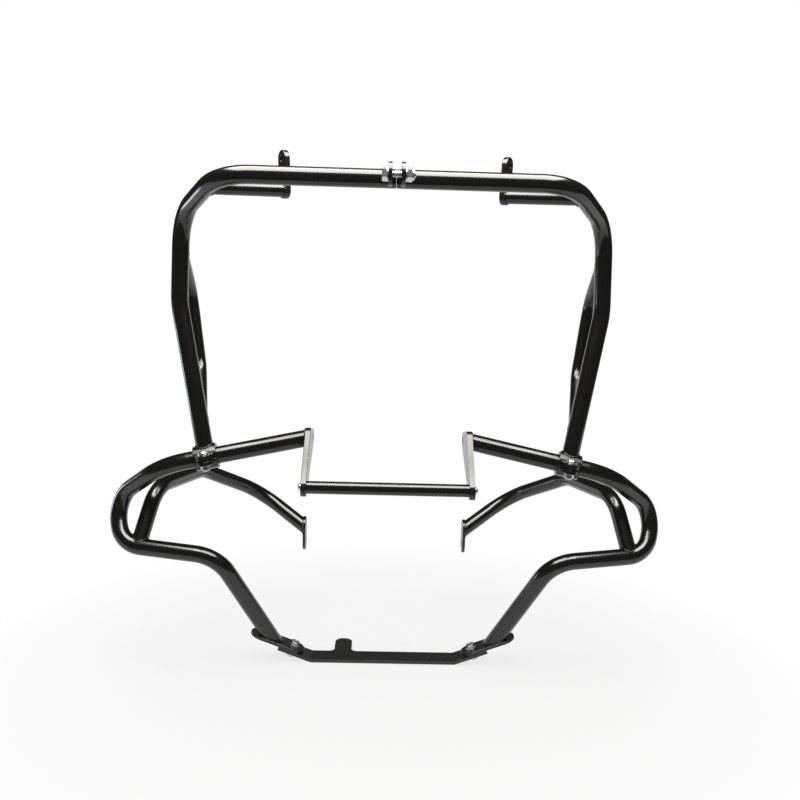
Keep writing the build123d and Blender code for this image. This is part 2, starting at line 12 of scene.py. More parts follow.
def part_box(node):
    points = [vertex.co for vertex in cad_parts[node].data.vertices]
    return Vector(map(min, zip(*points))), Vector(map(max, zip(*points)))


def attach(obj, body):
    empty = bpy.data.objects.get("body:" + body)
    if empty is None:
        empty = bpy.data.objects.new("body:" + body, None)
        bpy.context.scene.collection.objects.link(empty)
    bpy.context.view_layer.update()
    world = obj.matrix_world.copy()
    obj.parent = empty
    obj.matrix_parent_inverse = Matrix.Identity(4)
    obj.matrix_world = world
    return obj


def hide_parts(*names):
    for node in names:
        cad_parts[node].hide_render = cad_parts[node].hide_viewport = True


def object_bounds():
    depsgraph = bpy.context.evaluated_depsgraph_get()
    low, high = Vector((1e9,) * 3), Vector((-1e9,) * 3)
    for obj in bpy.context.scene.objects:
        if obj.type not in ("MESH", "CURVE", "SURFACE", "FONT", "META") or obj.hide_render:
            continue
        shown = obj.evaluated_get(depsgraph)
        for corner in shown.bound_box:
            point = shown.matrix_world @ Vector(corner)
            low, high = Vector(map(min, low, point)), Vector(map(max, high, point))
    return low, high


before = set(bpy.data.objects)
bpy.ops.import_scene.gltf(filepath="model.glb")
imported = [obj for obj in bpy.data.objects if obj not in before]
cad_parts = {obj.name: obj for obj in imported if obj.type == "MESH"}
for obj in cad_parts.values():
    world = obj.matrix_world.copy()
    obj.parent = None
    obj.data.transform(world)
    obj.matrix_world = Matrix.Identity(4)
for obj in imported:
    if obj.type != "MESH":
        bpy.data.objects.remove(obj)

LOG = logging.getLogger("crash_bars")
CAD_BOX = [list(corner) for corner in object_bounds()]
BODY = "root"
MM = 0.001
TINY = 1e-6  # distance below which points count as one
NEARLY = 0.98  # share past which a point counts as on a rim or a top
DEEP_BLACK = (0.0095, 0.0091, 0.0084)
SOFT_BLACK = (0.0125, 0.0118, 0.0106)


class Slot(Enum):
    """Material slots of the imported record."""

    TUBE = "tube_coat"
    PLATE = "plate_coat"
    CLAMP = "clamp_coat"
    ZINC = "zinc"


class Side(Enum):
    """The rider's two sides, with the sign that X has on each."""

    LEFT = 1.0
    RIGHT = -1.0

    def node(self, name: str) -> str:
        """Full name of a node or piece on this side."""
        return f"{self.name.lower()}_{name}"

    def place(self, point: tuple[float, float, float]) -> Vector:
        """Point or direction that is given for the left side, taken to this side."""
        return Vector((point[0] * self.value, point[1], point[2]))


class Facets(IntEnum):
    """Numbers of sides of turned forms."""

    HEXAGON = 6
    COARSE = 32
    MEDIUM = 40
    FINE = 48
    BAR = 64


class Pen:
    """Draws one shader node tree, node by node."""

    def __init__(self, tree: bpy.types.NodeTree) -> None:
        """Starts on an empty tree.

        Args:
            tree: The node tree of a material, world or node group.
        """
        self.tree = tree
        tree.nodes.clear()

    @classmethod
    def material(cls, name: str) -> tuple[bpy.types.Material, "Pen"]:
        """Starts a material.

        Args:
            name: Name of the material.

        Returns:
            The material and the pen on its empty tree.
        """
        material = bpy.data.materials.new(name)
        material.use_nodes = True
        return material, cls(material.node_tree)

    def add(self, kind: str, **values: object) -> bpy.types.Node:
        """Adds a node and sets its properties and inputs.

        Args:
            kind: Blender's type name of the node.
            values: Properties by their own names, inputs as in_ and the name with underscores.

        Returns:
            The new node.
        """
        node = self.tree.nodes.new(kind)
        for key, value in values.items():
            if key.startswith("in_"):
                node.inputs[key[3:].replace("_", " ")].default_value = value
            else:
                setattr(node, key, value)
        return node

    def link(self, source: bpy.types.NodeSocket, target: bpy.types.NodeSocket) -> None:
        """Joins an output to an input."""
        self.tree.links.new(source, target)

    def math(
        self, operation: str, first: bpy.types.NodeSocket, second: bpy.types.NodeSocket
    ) -> bpy.types.NodeSocket:
        """Adds a math node.

        Args:
            operation: Blender's name of the operation.
            first: The first value.
            second: The second value.

        Returns:
            The value that comes out.
        """
        node = self.add("ShaderNodeMath", operation=operation)
        self.link(first, node.inputs[0])
        self.link(second, node.inputs[1])
        return node.outputs[0]

    def spread(self, value: bpy.types.NodeSocket, low: float, high: float) -> bpy.types.NodeSocket:
        """Maps a value from 0 to 1 onto a range.

        Args:
            value: The value to map.
            low: What 0 becomes.
            high: What 1 becomes.

        Returns:
            The mapped value.
        """
        node = self.add("ShaderNodeMapRange", in_To_Min=low, in_To_Max=high)
        self.link(value, node.inputs["Value"])
        return node.outputs["Result"]

    def noise(self, **values: float) -> bpy.types.Node:
        """Adds a noise pattern that is fixed to the piece.

        Args:
            values: Inputs of the noise, named as for add.

        Returns:
            The noise node.
        """
        node = self.add("ShaderNodeTexNoise", **values)
        self.link(self.add("ShaderNodeTexCoord").outputs["Object"], node.inputs["Vector"])
        return node

    def blend(self, share: bpy.types.NodeSocket, first: tuple, second: tuple) -> bpy.types.NodeSocket:
        """Mixes two colours.

        Args:
            share: Share of the second colour.
            first: Colour at a share of 0.
            second: Colour at a share of 1.

        Returns:
            The mixed colour.
        """
        node = self.add("ShaderNodeMix", data_type="RGBA")
        self.link(share, node.inputs["Factor"])
        ends = [socket for socket in node.inputs if socket.type == "RGBA"]
        for socket, colour in zip(ends, (first, second)):
            socket.default_value = (*colour, 1.0)
        return next(socket for socket in node.outputs if socket.type == "RGBA")

    def mix(self, *sources: bpy.types.NodeSocket) -> bpy.types.NodeSocket:
        """Mixes two shaders.

        Args:
            sources: Share of the second shader, the first shader and the second.

        Returns:
            The mixed shader.
        """
        node = self.add("ShaderNodeMixShader")
        for source, target in zip(sources, node.inputs):
            self.link(source, target)
        return node.outputs["Shader"]

    def show(self, shader: bpy.types.NodeSocket, kind: str = "ShaderNodeOutputMaterial") -> None:
        """Joins a shader to the tree's output."""
        self.link(shader, self.add(kind).inputs["Surface"])

    def dress(
        self,
        shader: bpy.types.Node,
        colour: bpy.types.NodeSocket,
        rough: bpy.types.NodeSocket,
        height: bpy.types.NodeSocket,
        depth: float,
    ) -> None:
        """Wires a shader to its colour, roughness and bump and to the output.

        Args:
            shader: The shader node.
            colour: Its colour.
            rough: Its roughness.
            height: Pattern of its bumps, from 0 to 1.
            depth: Height of the bumps in metres.
        """
        bump = self.add("ShaderNodeBump", in_Distance=depth, in_Strength=1.0)
        self.link(height, bump.inputs["Height"])
        self.link(colour, shader.inputs["Base Color"])
        self.link(rough, shader.inputs["Roughness"])
        self.link(bump.outputs["Normal"], shader.inputs["Normal"])
        self.show(shader.outputs["BSDF"])


class SurfaceGroups:
    """Shader node groups that several finishes share."""

    @staticmethod
    def start(name: str, inputs: dict[str, float], outputs: tuple[str, ...]) -> tuple:
        """Makes an empty group with float sockets.

        Args:
            name: Name of the group.
            inputs: Input names with their default values.
            outputs: Output names.

        Returns:
            The group, its pen, its input node and its output node.
        """
        group = bpy.data.node_groups.new(name, "ShaderNodeTree")
        for key, value in inputs.items():
            socket = group.interface.new_socket(key, in_out="INPUT", socket_type="NodeSocketFloat")
            socket.default_value = value
        for key in outputs:
            group.interface.new_socket(key, in_out="OUTPUT", socket_type="NodeSocketFloat")
        pen = Pen(group)
        return group, pen, pen.add("NodeGroupInput"), pen.add("NodeGroupOutput")

    @classmethod
    def cured_powder(cls) -> bpy.types.NodeTree:
        """Fine orange peel, slow waves of gloss and sparse dust of a cured powder coat.

        Returns:
            The group with the outputs Height, Gloss and Dust.
        """
        group, pen, source, sink = cls.start(
            "CuredPowder", {"Peel Scale": 420.0, "Dust": 0.5}, ("Height", "Gloss", "Dust")
        )
        peel = pen.noise(in_Detail=2.0, in_Roughness=0.55)
        pen.link(source.outputs["Peel Scale"], peel.inputs["Scale"])
        pen.link(peel.outputs["Fac"], sink.inputs["Height"])
        waves = pen.noise(in_Scale=14.0, in_Detail=4.0, in_Roughness=0.6)
        pen.link(waves.outputs["Fac"], sink.inputs["Gloss"])
        specks = pen.noise(in_Scale=1300.0, in_Detail=1.0, in_Roughness=0.5)
        sparse = pen.add("ShaderNodeMapRange", clamp=True, in_From_Min=0.66, in_From_Max=0.78)
        pen.link(specks.outputs["Fac"], sparse.inputs["Value"])
        dust = pen.math("MULTIPLY", sparse.outputs["Result"], source.outputs["Dust"])
        pen.link(dust, sink.inputs["Dust"])
        return group

    @classmethod
    def tumbled_plating(cls) -> bpy.types.NodeTree:
        """Small dents and cloudy patches of barrel plated fasteners.

        Returns:
            The group with the outputs Height and Cloud.
        """
        group, pen, source, sink = cls.start("TumbledPlating", {"Dent Scale": 700.0}, ("Height", "Cloud"))
        dents = pen.noise(in_Detail=3.0, in_Roughness=0.6)
        pen.link(source.outputs["Dent Scale"], dents.inputs["Scale"])
        pen.link(dents.outputs["Fac"], sink.inputs["Height"])
        cloud = pen.noise(in_Scale=160.0, in_Detail=4.0, in_Roughness=0.65)
        pen.link(cloud.outputs["Fac"], sink.inputs["Cloud"])
        return group


@dataclass(frozen=True)
class PowderCoat:
    """Black powder coat on steel.

    Attributes:
        name: Name of the material.
        colour: Colour of the pigment.
        gloss: Roughness at the glossiest and at the dullest patch.
        peel_scale: Orange peel grains per metre.
        peel_depth: Height of the orange peel in metres.
        dust: How much of the sparse dust shows.
        dust_colour: Colour of the dust.
        ior: Refractive index of the cured resin.
    """

    name: str
    colour: tuple[float, float, float]
    gloss: tuple[float, float]
    peel_scale: float
    peel_depth: float
    dust: float
    dust_colour: tuple[float, float, float] = (0.16, 0.155, 0.145)
    ior: float = 1.55

    def build(self, powder: bpy.types.NodeTree) -> bpy.types.Material:
        """Makes the material.

        Args:
            powder: The shared group of a cured powder coat.

        Returns:
            The finished material.
        """
        material, pen = Pen.material(self.name)
        shader = pen.add("ShaderNodeBsdfPrincipled", in_IOR=self.ior)
        coat = pen.add(
            "ShaderNodeGroup", node_tree=powder, in_Peel_Scale=self.peel_scale, in_Dust=self.dust
        ).outputs
        colour = pen.blend(coat["Dust"], self.colour, self.dust_colour)
        rough = pen.spread(coat["Gloss"], *self.gloss)
        pen.dress(shader, colour, rough, coat["Height"], self.peel_depth)
        return material


@dataclass(frozen=True)
class ZincPlating:
    """Bright zinc on steel fasteners.

    Attributes:
        name: Name of the material.
        bright: Colour of the clean plating.
        cloudy: Colour of the cloudy patches.
        gloss: Roughness at the glossiest and at the dullest patch.
        dent_depth: Height of the small dents in metres.
    """

    name: str
    bright: tuple[float, float, float]
    cloudy: tuple[float, float, float]
    gloss: tuple[float, float]
    dent_depth: float

    def build(self, plating: bpy.types.NodeTree) -> bpy.types.Material:
        """Makes the material.

        Args:
            plating: The shared group of a barrel plated surface.

        Returns:
            The finished material.
        """
        material, pen = Pen.material(self.name)
        shader = pen.add("ShaderNodeBsdfPrincipled", in_Metallic=1.0)
        zinc = pen.add("ShaderNodeGroup", node_tree=plating).outputs
        colour = pen.blend(zinc["Cloud"], self.bright, self.cloudy)
        rough = pen.spread(zinc["Cloud"], *self.gloss)
        pen.dress(shader, colour, rough, zinc["Height"], self.dent_depth)
        return material


@dataclass
class Finishes:
    """All finishes of the crash bars, by slot.

    Attributes:
        tube: Coat of the round tubes and the cross rod.
        plate: Coat of the plates and the strip.
        clamp: Coat of the clamp halves.
        zinc: Plating of the fasteners.
        made: The finished materials by slot.
    """

    tube: PowderCoat = PowderCoat("tube_powder_coat", DEEP_BLACK, (0.17, 0.21), 420.0, 5e-7, 0.01)
    plate: PowderCoat = PowderCoat("plate_powder_coat", SOFT_BLACK, (0.2, 0.26), 480.0, 6e-7, 0.02)
    clamp: PowderCoat = PowderCoat("clamp_powder_coat", DEEP_BLACK, (0.18, 0.23), 520.0, 6e-7, 0.015)
    zinc: ZincPlating = ZincPlating("bright_zinc", (0.78, 0.79, 0.8), (0.66, 0.68, 0.7), (0.26, 0.34), 2e-7)
    made: dict[Slot, bpy.types.Material] = field(default_factory=dict)

    def build(self) -> None:
        """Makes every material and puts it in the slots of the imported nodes."""
        powder = SurfaceGroups.cured_powder()
        plating = SurfaceGroups.tumbled_plating()
        for slot, coat in ((Slot.TUBE, self.tube), (Slot.PLATE, self.plate), (Slot.CLAMP, self.clamp)):
            self.made[slot] = coat.build(powder)
        self.made[Slot.ZINC] = self.zinc.build(plating)
        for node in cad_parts.values():
            for holder in node.material_slots:
                holder.material = self.made[Slot(holder.material.name.split(".")[0])]

    def finish_piece(self, piece: bpy.types.Object, slot: Slot, *replaced: str) -> None:
        """Gives a new piece its finish and its place on the body.

        Args:
            piece: The new piece.
            slot: The slot that it takes its finish from.
            replaced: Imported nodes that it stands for.
        """
        piece.data.materials.clear()
        piece.data.materials.append(self.made[slot])
        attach(piece, BODY)
        if replaced:
            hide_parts(*replaced)
        LOG.info("piece %s, %d faces", piece.name, len(piece.data.polygons))


class Bench:
    """Hand tools for modelling a piece in edit mode."""

    @staticmethod
    def take(piece: bpy.types.Object) -> None:
        """Makes one object the only selected and active one."""
        bpy.ops.object.select_all(action="DESELECT")
        piece.select_set(True)
        bpy.context.view_layer.objects.active = piece

    @staticmethod
    def new(operator: Callable[..., set[str]], name: str, **sizes: object) -> bpy.types.Object:
        """Adds a primitive, with its place in its mesh.

        Args:
            operator: The operator that adds it.
            name: Name of the new object.
            sizes: Values that the operator takes.

        Returns:
            The new object, selected and active.
        """
        bpy.ops.object.select_all(action="DESELECT")
        operator(**sizes)
        piece = bpy.context.object
        piece.name = name
        bpy.ops.object.transform_apply(location=True, rotation=True, scale=True)
        return piece

    @classmethod
    def turned(
        cls, name: str, sides: Facets, radii: tuple[float, float], low: float, high: float
    ) -> bpy.types.Object:
        """Adds a straight or tapered rod along Z.

        Args:
            name: Name of the new object.
            sides: Number of its sides.
            radii: Radius of its corners at the foot and at the top.
            low: Height of the foot.
            high: Height of the top.

        Returns:
            The new object.
        """
        sizes = {"vertices": int(sides), "depth": high - low, "location": (0.0, 0.0, (low + high) / 2)}
        if radii[0] == radii[1]:
            return cls.new(bpy.ops.mesh.primitive_cylinder_add, name, radius=radii[0], **sizes)
        return cls.new(bpy.ops.mesh.primitive_cone_add, name, radius1=radii[0], radius2=radii[1], **sizes)

    @staticmethod
    def pick(piece: bpy.types.Object, mode: str, wanted: Callable[[object], bool]) -> None:
        """Selects faces or edges of a piece that is in edit mode.

        Args:
            piece: The piece in edit mode.
            mode: FACE or EDGE.
            wanted: A test that is true for what is to be selected.
        """
        bpy.ops.mesh.select_mode(type=mode)
        bpy.ops.mesh.select_all(action="DESELECT")
        mesh = bmesh.from_edit_mesh(piece.data)
        for part in mesh.faces if mode == "FACE" else mesh.edges:
            if wanted(part):
                part.select_set(True)
        bmesh.update_edit_mesh(piece.data)

    @classmethod
    def apply_modifier(cls, piece: bpy.types.Object, kind: str, **values: object) -> None:
        """Adds a modifier, sets it and applies it.

        Args:
            piece: The piece that gets it.
            kind: Blender's type name of the modifier.
            values: Properties of the modifier.
        """
        cls.take(piece)
        bpy.ops.object.modifier_add(type=kind)
        modifier = piece.modifiers[-1]
        for key, value in values.items():
            setattr(modifier, key, value)
        bpy.ops.object.modifier_apply(modifier=modifier.name)

    @classmethod
    def cut(cls, piece: bpy.types.Object, tool: bpy.types.Object, operation: str) -> None:
        """Cuts or trims a piece with another solid, which is then gone.

        Args:
            piece: The piece to shape.
            tool: The solid to shape it with.
            operation: DIFFERENCE or INTERSECT.
        """
        cls.apply_modifier(piece, "BOOLEAN", object=tool, operation=operation, solver="EXACT")
        bpy.data.objects.remove(tool)

    @classmethod
    def smooth(cls, piece: bpy.types.Object, degrees: float) -> None:
        """Shades a piece smooth up to an angle between its faces."""
        cls.take(piece)
        bpy.ops.object.shade_smooth_by_angle(angle=math.radians(degrees))

    @classmethod
    def join(cls, name: str, parts: list[bpy.types.Object]) -> bpy.types.Object:
        """Joins several objects into one mesh.

        Args:
            name: Name of the joined piece.
            parts: The objects to join.

        Returns:
            The joined piece.
        """
        cls.take(parts[0])
        for part in parts[1:]:
            part.select_set(True)
        if len(parts) > 1:
            bpy.ops.object.join()
        parts[0].name = name
        return parts[0]

    @staticmethod
    def copy_to(source: bpy.types.Object, name: str, place: Matrix) -> bpy.types.Object:
        """Copies a piece with its own mesh and puts its place into the mesh.

        Args:
            source: The piece to copy.
            name: Name of the copy.
            place: Where the copy goes.

        Returns:
            The copy, whose object sits at the origin.
        """
        mesh = source.data.copy()
        mesh.transform(place)
        piece = bpy.data.objects.new(name, mesh)
        bpy.context.scene.collection.objects.link(piece)
        return piece


def upright(place: Vector, axis: Vector) -> Matrix:
    """Frame whose Z runs along an axis.

    Args:
        place: Where the frame's origin goes.
        axis: Direction of its Z.

    Returns:
        The matrix of the frame.
    """
    return Matrix.Translation(place) @ axis.to_track_quat("Z", "Y").to_matrix().to_4x4()


@dataclass
class HexStock:
    """Chamfered hexagon of a bolt head or nut, standing on the origin along Z.

    Attributes:
        flats: Width across the flats.
        height: Height along the axis.
        both_ends: Whether the lower end is chamfered as well.
        hole: Diameter of the hole, or 0 for a head.
        dish: Depth of the shallow dish in the top of a head.
        end_share: Share of the width that stays flat at a chamfered end.
        chamfer: Angle of the chamfer, in degrees.
        punch: Radii of the dish's punch at its tip and its top, as shares of the flat end's.
    """

    flats: float
    height: float
    both_ends: bool = False
    hole: float = 0.0
    dish: float = 0.0
    end_share: float = 0.95
    chamfer: float = 28.0
    punch: tuple[float, float] = (0.58, 0.8)

    def build(self, name: str) -> bpy.types.Object:
        """Models the hexagon.

        Args:
            name: Name of the new object.

        Returns:
            The new object.
        """
        corner = self.flats / math.sqrt(3)
        prism = Bench.turned(name, Facets.HEXAGON, (corner, corner), 0.0, self.height)
        rim = self.flats / 2 * self.end_share
        flare = rim + self.height / math.tan(math.radians(self.chamfer))
        for radii in ((flare, rim), (rim, flare))[: 2 if self.both_ends else 1]:
            trimmer = Bench.turned("trimmer", Facets.FINE, radii, 0.0, self.height)
            Bench.cut(prism, trimmer, "INTERSECT")
        if self.hole:
            bore = self.hole / 2
            drill = Bench.turned("drill", Facets.COARSE, (bore, bore), -1.5 * self.height, 1.5 * self.height)
            Bench.cut(prism, drill, "DIFFERENCE")
        elif self.dish:
            tip, top = (rim * share for share in self.punch)
            punch = Bench.turned(
                "punch", Facets.MEDIUM, (tip, top), self.height - self.dish, self.height + self.dish
            )
            Bench.cut(prism, punch, "DIFFERENCE")
        Bench.smooth(prism, 25.0)
        return prism


@dataclass
class Thread:
    """Screw thread on a shank along Z.

    Attributes:
        diameter: Outside diameter.
        pitch: Distance from turn to turn.
        depth: Depth of the groove, in pitches.
        ridge: Radius of the three-sided ridge, in pitches.
        lift: How far the ridge's middle stands out of the core, in pitches.
        start: Height at which the ridge starts, in pitches.
        chamfer: Bevel of the shank's ends, in pitches.
        steps: Steps in one turn.
    """

    diameter: float
    pitch: float
    depth: float = 0.6
    ridge: float = 0.56
    lift: float = 0.2
    start: float = 0.6
    chamfer: float = 0.4
    steps: int = 20

    def build(self, name: str, length: float) -> bpy.types.Object:
        """Models a shank with a helical ridge and chamfered ends.

        Args:
            name: Name of the new object.
            length: Length of the shank, up from the origin.

        Returns:
            The new object.
        """
        core = self.diameter / 2 - self.depth * self.pitch
        shank = Bench.turned(name, Facets.COARSE, (core, core), 0.0, length)
        bpy.ops.object.mode_set(mode="EDIT")
        for end in (0.0, length):
            Bench.pick(shank, "EDGE", lambda e, z=end: all(abs(v.co.z - z) < TINY for v in e.verts))
            bpy.ops.mesh.bevel(offset=self.chamfer * self.pitch, segments=2)
        bpy.ops.object.mode_set(mode="OBJECT")
        ridge = Bench.new(
            bpy.ops.mesh.primitive_circle_add,
            "ridge",
            vertices=3,
            radius=self.ridge * self.pitch,
            fill_type="NOTHING",
            location=(core + self.lift * self.pitch, 0.0, self.start * self.pitch),
            rotation=(math.radians(90.0), math.radians(90.0), 0.0),
        )
        Bench.apply_modifier(
            ridge,
            "SCREW",
            axis="Z",
            screw_offset=self.pitch,
            iterations=max(1, int(length / self.pitch) - 1),
            steps=self.steps,
            render_steps=self.steps,
            use_merge_vertices=False,
        )
        bpy.ops.object.mode_set(mode="EDIT")
        bpy.ops.mesh.select_all(action="SELECT")
        bpy.ops.mesh.fill_holes(sides=3)
        bpy.ops.mesh.normals_make_consistent(inside=False)
        bpy.ops.object.mode_set(mode="OBJECT")
        thread = Bench.join(name, [shank, ridge])
        Bench.smooth(thread, 40.0)
        return thread


@dataclass
class Washer:
    """Flat washer with softened rims, standing on the origin along Z.

    Attributes:
        outside: Outside diameter.
        hole: Diameter of the hole.
        thickness: Thickness along the axis.
        soft: Bevel of the outer rims, as a share of the thickness.
    """

    outside: float
    hole: float
    thickness: float
    soft: float = 0.22

    def build(self, name: str) -> bpy.types.Object:
        """Models the washer.

        Args:
            name: Name of the new object.

        Returns:
            The new object.
        """
        radius = self.outside / 2
        disc = Bench.turned(name, Facets.FINE, (radius, radius), 0.0, self.thickness)
        bpy.ops.object.mode_set(mode="EDIT")
        Bench.pick(disc, "FACE", lambda f: abs(f.normal.z) > NEARLY)
        bpy.ops.mesh.inset(thickness=(self.outside - self.hole) / 2, use_boundary=True)
        bpy.ops.mesh.bridge_edge_loops()
        Bench.pick(disc, "EDGE", self.on_rim)
        bpy.ops.mesh.bevel(offset=self.thickness * self.soft, segments=2)
        bpy.ops.object.mode_set(mode="OBJECT")
        Bench.smooth(disc, 35.0)
        return disc

    def on_rim(self, edge: bmesh.types.BMEdge) -> bool:
        """Tells the edges of the two outer rims from the others.

        Args:
            edge: An edge of the washer.

        Returns:
            True if it runs round a rim.
        """
        first, second = (vert.co for vert in edge.verts)
        outer = min(first.xy.length, second.xy.length) > self.outside / 2 * NEARLY
        return outer and abs(first.z - second.z) < TINY


@dataclass
class DomeHead:
    """Domed head with a hexagon socket, standing on the origin along Z.

    Attributes:
        outside: Outside diameter.
        height: Height along the axis.
        socket: Width of the socket across its flats.
        domed: Share of the height that is domed.
        sunk: Depth of the socket, as a share of the height.
    """

    outside: float
    height: float
    socket: float
    domed: float = 0.9
    sunk: float = 0.6

    def build(self, name: str) -> bpy.types.Object:
        """Models the head.

        Args:
            name: Name of the new object.

        Returns:
            The new object.
        """
        radius = self.outside / 2
        dome = Bench.turned(name, Facets.FINE, (radius, radius), 0.0, self.height)
        bpy.ops.object.mode_set(mode="EDIT")
        Bench.pick(dome, "EDGE", lambda e: all(v.co.z > self.height * NEARLY for v in e.verts))
        bpy.ops.mesh.bevel(offset=self.height * self.domed, segments=8, profile=0.5)
        bpy.ops.object.mode_set(mode="OBJECT")
        corner = self.socket / math.sqrt(3)
        deep = self.height * self.sunk
        key = Bench.turned(
            "key", Facets.HEXAGON, (corner, corner), self.height - deep, self.height + deep
        )
        Bench.cut(dome, key, "DIFFERENCE")
        Bench.smooth(dome, 30.0)
        return dome


@dataclass
class LockNut:
    """Lock nut with a rolled collar, standing on the origin along Z.

    Attributes:
        flats: Width across the flats.
        height: Height with the collar.
        bolt: Diameter of the bolt.
        hexagon: Height of the hexagon, as a share of the whole.
        roll: Radius of the rolled rim as a share of the flats, its own radius and its place
            along the axis as shares of the height.
        band: Width of the band in the collar as a share of the flats, its thickness and its
            foot as shares of the height.
    """

    flats: float
    height: float
    bolt: float
    hexagon: float = 0.74
    roll: tuple[float, float, float] = (0.37, 0.15, 0.85)
    band: tuple[float, float, float] = (0.86, 0.2, 0.7)

    def build(self, name: str) -> bpy.types.Object:
        """Models the nut.

        Args:
            name: Name of the new object.

        Returns:
            The new object.
        """
        hexagon = HexStock(self.flats, self.height * self.hexagon, True, self.bolt).build(name)
        collar = Bench.new(
            bpy.ops.mesh.primitive_torus_add,
            "collar",
            major_segments=int(Facets.MEDIUM),
            minor_segments=12,
            major_radius=self.flats * self.roll[0],
            minor_radius=self.height * self.roll[1],
            location=(0.0, 0.0, self.height * self.roll[2]),
        )
        Bench.smooth(collar, 60.0)
        width, thickness, foot = self.band
        band = Washer(self.flats * width, self.bolt, self.height * thickness).build("band")
        band.data.transform(Matrix.Translation((0.0, 0.0, self.height * foot)))
        return Bench.join(name, [hexagon, collar, band])


@dataclass
class Bolt:
    """Bolt or screw with a head on its seat and a threaded shank.

    Attributes:
        head: The head, modelled along Z from its seat.
        thread: The thread on the shank.
    """

    head: HexStock | DomeHead
    thread: Thread

    def build(self, name: str, seat: Vector, axis: Vector, length: float) -> bpy.types.Object:
        """Builds the bolt in its place.

        Args:
            name: Name of the piece.
            seat: Point under the head.
            axis: Direction from the seat to the head's top.
            length: Length of the shank under the head.

        Returns:
            The bolt.
        """
        head = self.head.build("head")
        shank = self.thread.build("shank", length)
        shank.data.transform(Matrix.Rotation(math.pi, 4, "X"))
        bolt = Bench.join(name, [head, shank])
        bolt.data.transform(upright(seat, axis))
        return bolt


@dataclass(frozen=True)
class BoltSize:
    """Sizes of a bolt with its lock nut and washers.

    Attributes:
        bolt: Diameter of the bolt.
        pitch: Pitch of its thread.
        flats: Width of head and nut across the flats.
        nut: Height of the nut.
        washer: Outside diameter, hole and thickness of a washer.
    """

    bolt: float
    pitch: float
    flats: float
    nut: float
    washer: tuple[float, float, float]

    def under(self, head: HexStock | DomeHead) -> Bolt:
        """Bolt of this size under a given head."""
        return Bolt(head, Thread(self.bolt, self.pitch))

    def washers(self, name: str, seats: list[Vector], axis: Vector) -> bpy.types.Object:
        """Washers that stand on their seats along an axis, as one piece."""
        return self.repeat(Washer(*self.washer), name, seats, axis)

    def nuts(self, name: str, seats: list[Vector], axis: Vector) -> bpy.types.Object:
        """Lock nuts that stand on their seats along an axis, as one piece."""
        return self.repeat(LockNut(self.flats, self.nut, self.bolt), name, seats, axis)

    @staticmethod
    def repeat(form: Washer | LockNut, name: str, seats: list[Vector], axis: Vector) -> bpy.types.Object:
        """Models a form once and sets a copy on each seat.

        Args:
            form: The form, along Z from its seat.
            name: Name of the piece.
            seats: Where the copies stand.
            axis: Direction that they point in.

        Returns:
            The copies as one piece.
        """
        model = form.build("model")
        copies = [Bench.copy_to(model, f"copy_{i}", upright(seat, axis)) for i, seat in enumerate(seats)]
        bpy.data.objects.remove(model)
        return Bench.join(name, copies)


M8 = BoltSize(8.0 * MM, 1.25 * MM, 13.0 * MM, 6.5 * MM, (16.0 * MM, 8.4 * MM, 1.6 * MM))
M10 = BoltSize(10.0 * MM, 1.5 * MM, 17.0 * MM, 10.0 * MM, (20.0 * MM, 10.4 * MM, 2.0 * MM))


@dataclass
class CentreJoint:
    """Bolt, washers and lock nut that join the lugs of the upper bar.

    Attributes:
        size: Size of the bolt.
        head: Height of the head.
        dish: Depth of the dish in the head.
    """

    size: BoltSize = M10
    head: float = 6.4 * MM
    dish: float = 0.5 * MM

    def build(self, finishes: Finishes) -> None:
        """Models the fasteners in their places.

        Args:
            finishes: The finishes to dress them in.
        """
        low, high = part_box("centre_bolt")
        inner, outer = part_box("centre_washers")
        middle = (low + high) / 2
        across = Vector((1.0, 0.0, 0.0))
        seat = Vector((inner.x, middle.y, middle.z))
        far = Vector((outer.x, middle.y, middle.z))
        bolt = self.size.under(HexStock(self.size.flats, self.head, dish=self.dish))
        piece = bolt.build("centre_bolt_detail", seat, -across, high.x - inner.x)
        finishes.finish_piece(piece, Slot.ZINC, "centre_bolt")
        seats = [seat, far - across * self.size.washer[2]]
        piece = self.size.washers("centre_washers_detail", seats, across)
        finishes.finish_piece(piece, Slot.ZINC, "centre_washers")
        piece = self.size.nuts("centre_nut_detail", [far], across)
        finishes.finish_piece(piece, Slot.ZINC, "centre_nut")


